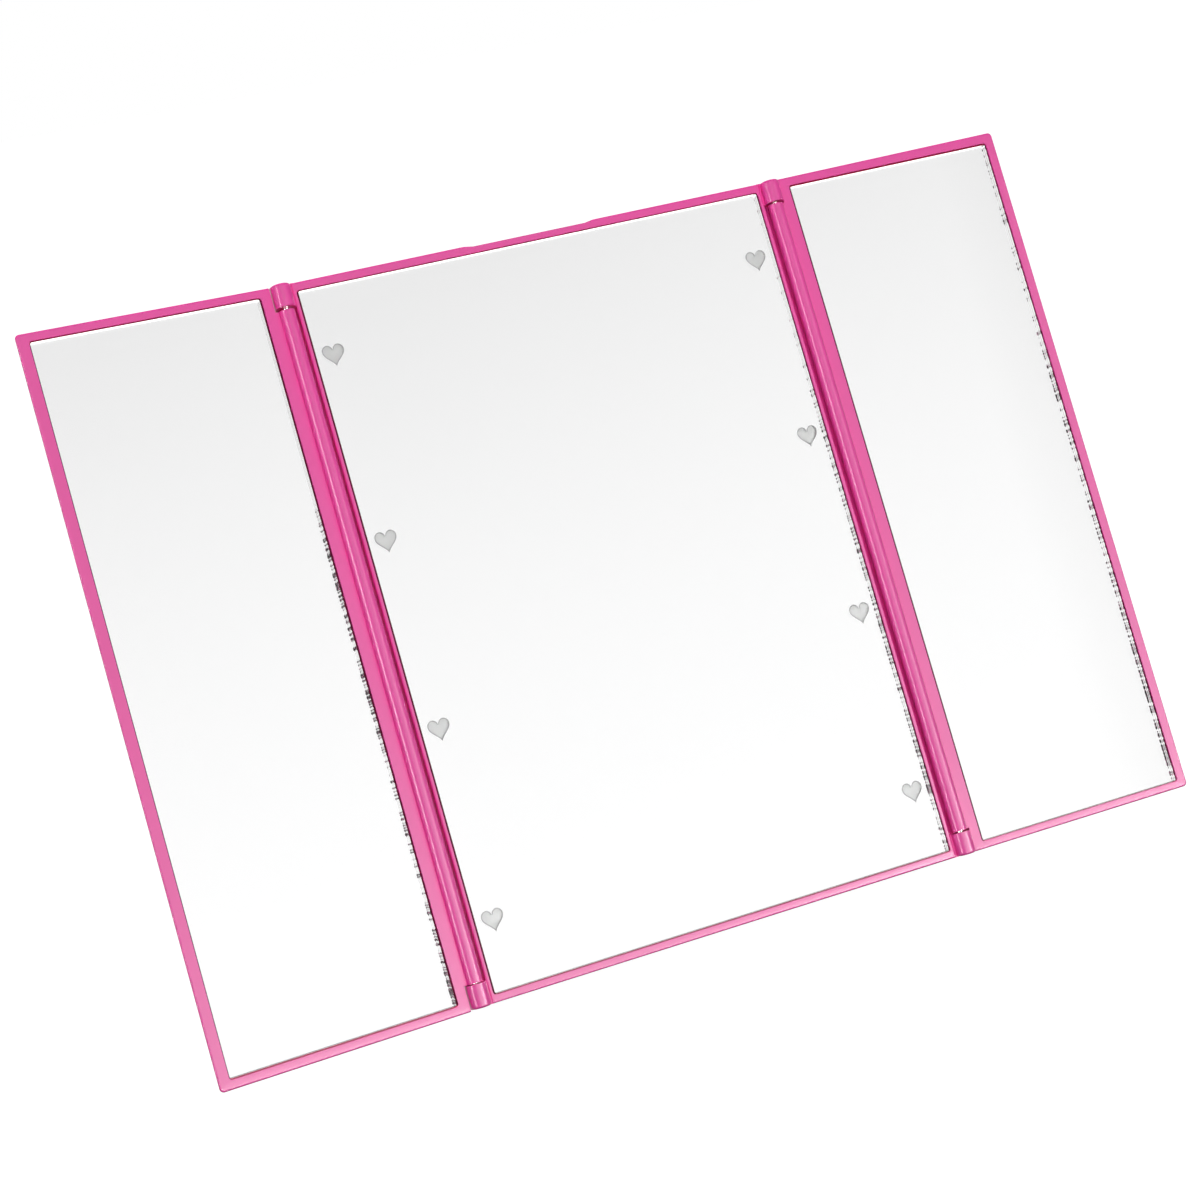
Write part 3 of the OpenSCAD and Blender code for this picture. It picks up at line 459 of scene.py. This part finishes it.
def bright_nickel(tree):
    """Bright nickel on drawn wire and pressed strip: sharp reflections, a hair yellow."""
    return add(tree, "BsdfPrincipled", None, {
        "Base Color": linear("#DEDCD6"),
        "Metallic": 1.0,
        "Roughness": add(tree, "MapRange", None,
            {"Value": noise(tree, 2 * MM), "To Min": 0.08, "To Max": 0.16}),
    })


def cell_wrap(tree):
    """Plain satin wrap, shrunk on a dry cell."""
    return add(tree, "BsdfPrincipled", None, {
        "Base Color": blend(tree, noise(tree, 6 * MM), "#A9ABB0", "#B8BABE"),
        "Metallic": 0.6,
        "Roughness": 0.35,
    })


def white_acetal(tree):
    """Moulded acetal of the slide knob: white, waxy, softly shining."""
    return add(tree, "BsdfPrincipled", None, {
        "Base Color": blend(tree, noise(tree, 2 * MM), "#ECECEC", "#F4F4F3"),
        "Roughness": 0.38,
        "Subsurface Weight": 0.15,
        "Subsurface Radius": (0.5, 0.5, 0.5),
        "Subsurface Scale": 1 * MM,
        "Normal": add(tree, "Bump", None,
            {"Height": noise(tree, 0.3 * MM), "Distance": 0.004 * MM}),
    })


def red_vinyl(tree):
    """Soft red vinyl, extruded over the lead wires."""
    return add(tree, "BsdfPrincipled", None, {
        "Base Color": blend(tree, noise(tree, 3 * MM), "#B0141C", "#C41C24"),
        "Roughness": 0.42,
    })


FINISHES = {
    "pink_plastic": material("pink_moulded_abs", pink_abs),
    "clear_glass": material("float_glass", float_glass),
    "silver_coat": material("deposited_silver", silver),
    "foam_tape": material("white_foam_tape", foam),
    "frosted_plastic": material("shaded_frosted_acrylic", shaded_frosted_acrylic),
    "circuit_board": material("green_solder_mask", solder_mask),
    "lamp_body": material("white_lamp_case", lamp_case),
    "resistor_body": material("beige_resistor_lacquer", resistor_lacquer),
    "steel": material("zinc_plated_steel", zinc_plate),
    "nickel_plate": material("bright_nickel", bright_nickel),
    "cell_case": material("satin_cell_wrap", cell_wrap),
    "white_plastic": material("white_acetal", white_acetal),
    "wire_cover": material("red_vinyl", red_vinyl),
}
# The chips' dark and rosy tones are painted shade and painted glint
CHIP_SHADE_AND_GLINT = material("chipped_glass_shade_and_glint", chip_shade_and_glint)

# The seams' painted shade, one copy for each way the light falls: nearly black at both sides,
# crimson at the top, rosy at the bottom
SEAM_PAINTED_SHADES = [
    material("dark_seam_painted_shade", seam_painted_shade("#4C0622", "#6A0E38")),
    material("crimson_seam_painted_shade", seam_painted_shade("#98103A", "#AC1844")),
    material("rosy_seam_painted_shade", seam_painted_shade("#B04A66", "#C0607A")),
]
SIDE_SHADE, TOP_SHADE, BOTTOM_SHADE = range(3)
BACKING_PAINT = material("grey_backing_paint", backing_paint)


# Finish of the frame's own pieces

# Corners this close together are one, and an edge that bends more than this stays crisp
WELD_DISTANCE = 0.015 * MM
CRISP_ANGLE = math.radians(28)


def finish_nodes():
    """Gives every carried-over piece its material and smooth round surfaces with crisp edges."""
    slots = {part["node"]: part["material_slot"] for part in frame["record"]["subparts"]}
    for name, made in frame["nodes"].items():
        made.data.materials.clear()
        made.data.materials.append(FINISHES[slots[name]])
        made.data.polygons.foreach_set("use_smooth", [True] * len(made.data.polygons))
        weld = made.modifiers.new("weld", "WELD")
        weld.merge_threshold = WELD_DISTANCE
        split = made.modifiers.new("crisp_edges", "EDGE_SPLIT")
        split.split_angle = CRISP_ANGLE
        normals = made.modifiers.new("flat_faces", "WEIGHTED_NORMAL")
        normals.keep_sharp = True


# Glass and silver

# The pane: its corners' radius, the arris ground along its edges, and the spacing of the points
# along its sides
PANE_CORNER = 0.5 * MM
ARRIS = 0.03 * MM
SIDE_STEP = 5 * MM

# The silver coat: how far it lies behind the pane, how far it stops inside the pane's outline,
# and how much further in the deepest chip takes it
COAT_GAP = 0.02 * MM
COAT_MARGIN = 0.02 * MM
COAT_CHIP = 0.1 * MM

# The chips: their spacing along the edge, how far inside the pane's outline and front they
# start, how far the deepest one reaches in, and how many times that it goes back
CHIP_STEP = 0.32 * MM
CHIP_START = 0.02 * MM
CHIP_REACH = 0.3 * MM
CHIP_DEPTH_RATIO = 3

# Chips come in this many clusters round a pane. In a cluster the chance of one is from this much
# of its share to a whole share more. The share changes between these parts of the pane's height.
CHIP_CLUSTERS = 60
CLUSTER_LEAST = 0.5
CHIPS_THIN_OUT = (0.6, 0.75)

# How far a point's random number has to pass its limit for a chip of full depth
CHIP_SOFTNESS = 0.25

# The frame's lip: how far outside the plain opening it is rooted, how far its face lies behind
# the frame's front, and how far the frame's front stands before the glass
LIP_ROOT = 0.55 * MM
LIP_FRONT = 0.01 * MM
LIP_HEIGHT = 0.3 * MM

# The seam's sheet of painted shade: how far it stops short of the pane, and how far it reaches
# under the lip
SHADE_SHEET_GAP = 0.01 * MM
SHADE_SHEET_UNDER_LIP = 0.05 * MM

# A point is on the top or bottom side, or on the right-hand one, where its unit normal leans that
# way by more than this
ON_LEVEL_SIDE = 0.7
ON_RIGHT_SIDE = 0.9

# Each mirror's side and body, and, in millimetres: how far the pane's corners lie from a true
# rectangle, across and up (bottom left, bottom right, top left, top right); the width of the seam
# round it and the depth of the painted shade in it (left, right, bottom, top). Then the share of
# its right edge that is chipped (low down, high up), and the number that its chips are drawn from.
MIRRORS = {
    "left": {
        "side": -1,
        "body": "left_wing",
        "corners": [(0.45, 0.25), (-0.35, 0.1), (0.6, -0.46), (-0.35, -0.36)],
        "seam": (0.25, 0.51, 0.4, 0.35),
        "shade_depth": (0.8, 0.2, 0.2, 0.2),
        "chipped": (0.55, 0.03),
        "seed": 5,
    },
    "centre": {
        "side": 0,
        "body": "housing",
        "corners": [(0.3, 0), (-0.45, 0), (0.3, -0.36), (-0.45, -0.36)],
        "seam": (0.55, 0.35, 0.3, 0.3),
        "shade_depth": (0.2, 0.2, 0.2, 0.2),
        "chipped": (0.6, 0.12),
        "seed": 3,
    },
    "right": {
        "side": 1,
        "body": "right_wing",
        "corners": [(0.2, 0.1), (-0.2, 0.1), (0.2, -0.36), (-0.2, -0.7)],
        "seam": (0.5, 0.35, 0.25, 0.52),
        "shade_depth": (0.2, 0.2, 0.2, 0.2),
        "chipped": (0.65, 0.3),
        "seed": 8,
    },
}


def by_side(inward, lengths):
    """A length for each outline point from those of the four sides, weighted by its normal.

    The lengths are in millimetres: left, right, bottom, top.
    """
    left, right, bottom, top = np.array(lengths) * MM
    x, z = inward.T
    return x**2 * np.where(x > 0, left, right) + z**2 * np.where(z > 0, bottom, top)


def skewed(outline, low, high, offsets):
    """An outline whose corners are moved: each point moves by the bilinear mean of the four."""
    u, v = ((outline - low) / (high - low)).T
    shares = np.stack([(1 - u) * (1 - v), u * (1 - v), (1 - u) * v, u * v], 1)
    return outline + shares @ (np.array(offsets) * MM)


def chips(outline, inward, seed, shares):
    """How deep each outline point is chipped, from 0 to 1, along the right-hand upright edge.

    A random number counts where it exceeds 1 minus the chance there. The chance follows
    clusters some millimetres long, and goes from the lower share to the upper one.
    """
    dice = np.random.default_rng(seed)
    count = len(outline)
    cluster = np.interp(np.arange(count), np.linspace(0, count, CHIP_CLUSTERS),
        dice.random(CHIP_CLUSTERS))
    height = (outline[:, 1] - outline[:, 1].min()) / np.ptp(outline[:, 1])
    chance = np.interp(height, CHIPS_THIN_OUT, shares) * (CLUSTER_LEAST + cluster)
    bite = np.clip((dice.random(count) - 1 + chance) / CHIP_SOFTNESS, 0, 1)
    return bite * (inward[:, 0] < -ON_RIGHT_SIDE)


class Mirror:
    """What the pieces of one mirror share: its entry, axes and depths, and outlines at a step.

    The opening is a plain rounded rectangle. The pane's outline is that one, a little out of true.
    """

    def __init__(self, place):
        self.place = place
        self.fit = MIRRORS[place]
        self.axes = face_axes(self.fit["side"])
        self.low, self.high = extent(place + "_glass", self.axes)
        self.front, self.back = self.low[1], self.high[1] - COAT_GAP

    def outlines(self, step):
        """The opening, the pane's outline, and the inward normals."""
        low, high = self.low[[0, 2]], self.high[[0, 2]]
        opening, inward = rounded_outline(low, high, PANE_CORNER, step)
        return opening, skewed(opening, low, high, self.fit["corners"]), inward

    def piece(self, name, points, faces, materials, slot, picks=None):
        """A piece of this mirror, named for it and riding on its body."""
        return piece(self.place + name, points, faces, materials, self.fit["body"], picks)


def clear_pane(mirror):
    """The clear pane: its outline carried from front to back, drawn in by the arris at each end."""
    _, outline, inward = mirror.outlines(SIDE_STEP)
    front, back, count = mirror.front, mirror.back, len(outline)
    drawn_in = outline + ARRIS * inward
    points = band([drawn_in, outline, outline, drawn_in],
        [front, front + ARRIS, back - ARRIS, back], mirror.axes)
    faces = [list(f) for f in grid_faces(4, count)]
    faces += [list(range(count)), list(range(3 * count, 4 * count))]
    pane = mirror.piece("_pane", points, faces, [FINISHES["clear_glass"]], "clear_glass")
    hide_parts(mirror.place + "_glass")


def frame_lip(mirror):
    """The frame's moulded edge: a rectangular section round the pane, a seam's width from it."""
    opening, outline, inward = mirror.outlines(SIDE_STEP)
    face = mirror.front - LIP_HEIGHT + LIP_FRONT
    wall = outline - by_side(inward, mirror.fit["seam"])[:, None] * inward
    root = opening - LIP_ROOT * inward
    points = band([root, wall, wall, root], [face, face, mirror.back, mirror.back], mirror.axes)
    mirror.piece("_lip", points, grid_faces(4, len(outline), True), [FINISHES["pink_plastic"]],
        "pink_plastic")


def painted_shade_seam(mirror):
    """Painted shade in the seam between the pane and the lip.

    A rectangular section whose face lies at its own depth.
    """
    _, outline, inward = mirror.outlines(SIDE_STEP)
    width = by_side(inward, mirror.fit["seam"])[:, None]
    inner, outer = outline - SHADE_SHEET_GAP * inward, outline - (width + SHADE_SHEET_UNDER_LIP) * inward
    # Painted shade: the sheet's face sits where the seam would only be in shade
    deep = mirror.front + by_side(inward, mirror.fit["shade_depth"])
    points = band([outer, inner, inner, outer], [deep, deep, mirror.back, mirror.back], mirror.axes)
    top, bottom = inward[:, 1] < -ON_LEVEL_SIDE, inward[:, 1] > ON_LEVEL_SIDE
    # Painted shade in three copies: nearly black at the sides, crimson at the top, rosy at the bottom
    picks = np.where(top, TOP_SHADE, np.where(bottom, BOTTOM_SHADE, SIDE_SHADE))
    mirror.piece("_seam_painted_shade", points, grid_faces(4, len(outline), True), SEAM_PAINTED_SHADES, "foam_tape",
        np.tile(picks, 4))


def chipped_outline(mirror):
    """The pane's outline at the chips' step, its inward normals, and how deep each is chipped."""
    _, outline, inward = mirror.outlines(CHIP_STEP)
    bite = chips(outline, inward, mirror.fit["seed"], mirror.fit["chipped"])
    return outline, inward, bite


def edge_chips(mirror):
    """Chips along the right edge: three-cornered sections that reach in and back by the bite."""
    outline, inward, bite = chipped_outline(mirror)
    start = outline + CHIP_START * inward
    face = mirror.front + CHIP_START
    points = band([start, start + CHIP_REACH * bite[:, None] * inward, start],
        [face, face, face + CHIP_DEPTH_RATIO * CHIP_REACH * bite], mirror.axes)
    broken = np.tile(bite + np.roll(bite, -1) > 0, 3)
    mirror.piece("_edge_chips", points, grid_faces(3, len(outline), True)[broken], [CHIP_SHADE_AND_GLINT],
        "clear_glass")


def silver_coat(mirror, windows):
    """The silver behind the pane, open at the windows, painted grey on its back and rims."""
    outline, inward, bite = chipped_outline(mirror)
    coat = extent(mirror.place + "_silvering", mirror.axes)
    edge = outline + (COAT_MARGIN + COAT_CHIP * bite[:, None]) * inward
    flat, triangles = flat_region(edge, windows)
    points, faces, picks = thin_sheet(flat, triangles, coat[0][1] + COAT_GAP / 2, coat[1][1],
        mirror.axes)
    silvering = mirror.piece("_silver_coat", points, faces,
        [FINISHES["silver_coat"], BACKING_PAINT], "silver_coat", picks)
    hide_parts(mirror.place + "_silvering")


# Rims of the light windows

# Width of the grey ring, how far it lies behind the front of the coat that the frame came with,
# and how far the window's curve lies inside the plug's
RIM_WIDTH = 0.3 * MM
RIM_START = 0.02 * MM
WINDOW_GAP = 0.15 * MM


def window_rim(index, centre, width):
    """A grey ring round one light window, which darkens its outline.

    A flat ring between the heart curve and the same curve drawn in along its own normals.
    """
    axes = face_axes(0)
    coat = extent("centre_silvering", axes)
    outline = heart_outline(width, centre)
    along = np.roll(outline, -1, 0) - np.roll(outline, 1, 0)
    inward = np.stack([along[:, 1], -along[:, 0]], 1) / np.linalg.norm(along, axis=1)[:, None]
    front, back = coat[0][1] + RIM_START, coat[1][1]
    drawn_in = outline + RIM_WIDTH * inward
    points = band([outline, drawn_in, drawn_in, outline], [front, front, back, back], axes)
    piece("window_rim_%d" % index, points, grid_faces(4, len(outline), True), [BACKING_PAINT],
        "housing")


# Stage

# Half the floor's width, how far it lies under the object, and its glow to the eye
FLOOR_HALF = 6.0
FLOOR_GAP = 0.05 * MM
PAPER_GLOW = 0.98

# What glossy rays meet in the world
GLOSS_LEVEL = 0.5

# Ramps of the world's light. Each follows one part of a ray's direction (0 across to the right,
# 1 away behind the object, 2 up), between two values of it, and goes from one level to another.
LIGHT_RAMPS = {
    "before": (1, 0.0, -1.0, 0.19, 0.62),
    "behind": (1, 0.0, 1.0, 0.0, 1.6),
    "rise": (2, 0.24, 0.52, 0.0, 1.0),
    "right": (0, 0.405, 0.44, 1.0, 0.91),
    "low": (2, 0.12, 0.22, 1.0, 0.0),
}

# The mirrored sky's level at its foot and at its top, and how slowly it starts to fall
MIRRORED_FOOT = 1.1
MIRRORED_TOP = 0.89
MIRRORED_CURVE = 1.6

# Where the lamps aim: the middle of the object
LAMP_AIM = Vector((0, 0.02, 0.1))


def studio_floor(tree):
    """Seamless white paper: it glows white to the eye and in reflections, and keeps a shadow.

    Diffuse rays meet it as dark grey, so that it throws little light up on the object.
    """
    path = add(tree, "LightPath")
    seen = add(tree, "Math", {"operation": "MAXIMUM"},
        {0: path.outputs["Is Camera Ray"], 1: path.outputs["Is Glossy Ray"]})
    seen = add(tree, "Math", {"operation": "MAXIMUM"},
        {0: seen, 1: path.outputs["Is Transmission Ray"]})
    paper = add(tree, "BsdfDiffuse", None, {"Color": blend(tree, seen, "#3A3A3A", "#707070")})
    strength = add(tree, "Math", {"operation": "MULTIPLY"}, {0: seen, 1: PAPER_GLOW})
    glow = add(tree, "Emission", None, {"Strength": strength})
    return add(tree, "AddShader", None, {0: paper, 1: glow})


def set_stage():
    """A wide floor at the height that the object stands on."""
    mesh = bpy.data.meshes.new("studio_floor")
    corners = [(x * FLOOR_HALF, y * FLOOR_HALF, 0) for x, y in ((-1, -1), (1, -1), (1, 1), (-1, 1))]
    mesh.from_pydata(corners, [], [(0, 1, 2, 3)])
    mesh.materials.append(material("studio_paper", studio_floor))
    floor = bpy.data.objects.new("studio_floor", mesh)
    bpy.context.scene.collection.objects.link(floor)
    floor.location.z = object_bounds()[0][2] - FLOOR_GAP


def set_world():
    """A white sky to the eye, and a level of its own for each other kind of ray.

    Diffuse rays meet a fill that is dim at the sides, brighter before the object and brightest
    behind it. Gloss meets one plain level. Rays that have passed through a pane, as all do that
    a mirror throws back, meet white up to 14 degrees, a fall to pale grey at 31 degrees, a shade
    less at the right, and more light low down, which brightens what lies under the glass.
    """
    world = bpy.data.worlds.new("studio")
    bpy.context.scene.world = world
    world.use_nodes = True
    tree = world.node_tree
    tree.nodes.clear()
    way = add(tree, "TexCoord").outputs["Generated"]
    parts = add(tree, "SeparateXYZ", None, {0: way}).outputs
    ramps = {}
    for name, (part, start, end, first, last) in LIGHT_RAMPS.items():
        ramps[name] = add(tree, "MapRange", None, {"Value": parts[part], "From Min": start,
            "From Max": end, "To Min": first, "To Max": last})
    fill = add(tree, "Math", {"operation": "ADD"}, {0: ramps["before"], 1: ramps["behind"]})
    fall = add(tree, "Math", {"operation": "POWER"}, {0: ramps["rise"], 1: MIRRORED_CURVE})
    upper = add(tree, "MapRange", None,
        {"Value": fall, "To Min": MIRRORED_FOOT, "To Max": MIRRORED_TOP})
    mirrored = add(tree, "Math", {"operation": "MULTIPLY"}, {0: upper, 1: ramps["right"]})
    through = add(tree, "Math", {"operation": "ADD"}, {0: mirrored, 1: ramps["low"]})
    path = add(tree, "LightPath").outputs
    strength = fill
    for ray, level in (("Is Glossy Ray", GLOSS_LEVEL), ("Is Transmission Ray", through),
            ("Is Camera Ray", 1.0)):
        strength = add(tree, "Mix", None, {"Factor": path[ray], 2: strength, 3: level})
    sky = add(tree, "Background", None, {"Color": (1, 1, 1, 1), "Strength": strength})
    add(tree, "OutputWorld", None, {"Surface": sky})


def softbox(name, azimuth, elevation, distance, width, height, power, mirrored):
    """A soft area lamp aimed at the middle of the object. Azimuth 0 is in front, positive right.

    A mirrored lamp shows in gloss and does nothing else. Any other lights and never shows.
    Neither kind shows in the mirrors.
    """
    turn, lift = math.radians(azimuth), math.radians(elevation)
    level = math.cos(lift)
    way = Vector((math.sin(turn) * level, -math.cos(turn) * level, math.sin(lift)))
    lamp = bpy.data.lights.new(name, "AREA")
    lamp.shape = "RECTANGLE"
    lamp.size = width
    lamp.size_y = height
    lamp.energy = power
    made = bpy.data.objects.new(name, lamp)
    made.location = LAMP_AIM + way * distance
    made.rotation_euler = way.to_track_quat("Z", "Y").to_euler()
    made.visible_diffuse = not mirrored
    made.visible_glossy = mirrored
    made.visible_transmission = False
    bpy.context.scene.collection.objects.link(made)


def set_lamps():
    """One lamp before and above that lights, and three strips for the shine on the pink."""
    softbox("front_softbox", azimuth=-8, elevation=42, distance=1.0, width=0.8, height=0.6,
        power=5.9, mirrored=False)
    softbox("low_strip", azimuth=20, elevation=2, distance=1.2, width=1.8, height=0.2,
        power=44.0, mirrored=True)
    softbox("left_strip", azimuth=-66, elevation=10, distance=1.2, width=0.12, height=0.7,
        power=14.0, mirrored=True)
    softbox("right_strip", azimuth=42, elevation=12, distance=1.2, width=0.14, height=0.8,
        power=3.0, mirrored=True)


def set_camera():
    """The photograph's camera: placed, aimed, then rolled about its own axis."""
    data = bpy.data.cameras.new("photo_camera")
    data.lens = CAMERA_LENS
    data.sensor_width = CAMERA_SENSOR
    data.sensor_fit = "HORIZONTAL"
    data.clip_start = CAMERA_CLIP
    made = bpy.data.objects.new("photo_camera", data)
    turn = (CAMERA_PLACE - CAMERA_AIM).to_track_quat("Z", "Y")
    roll = Matrix.Rotation(CAMERA_ROLL, 4, "Z")
    made.matrix_world = Matrix.Translation(CAMERA_PLACE) @ turn.to_matrix().to_4x4() @ roll
    bpy.context.scene.collection.objects.link(made)
    bpy.context.scene.camera = made


finish_nodes()
hearts = [(centre, width - 2 * WINDOW_GAP) for centre, width in heart_centres()]
windows = {"centre": [heart_outline(width, centre) for centre, width in hearts]}
for place in MIRRORS:
    mirror = Mirror(place)
    clear_pane(mirror)
    frame_lip(mirror)
    painted_shade_seam(mirror)
    edge_chips(mirror)
    silver_coat(mirror, windows.get(place, []))
for index, (centre, width) in enumerate(hearts):
    window_rim(index, centre, width)

set_camera()
set_stage()
set_world()
set_lamps()

bpy.context.scene.view_settings.view_transform = "Standard"
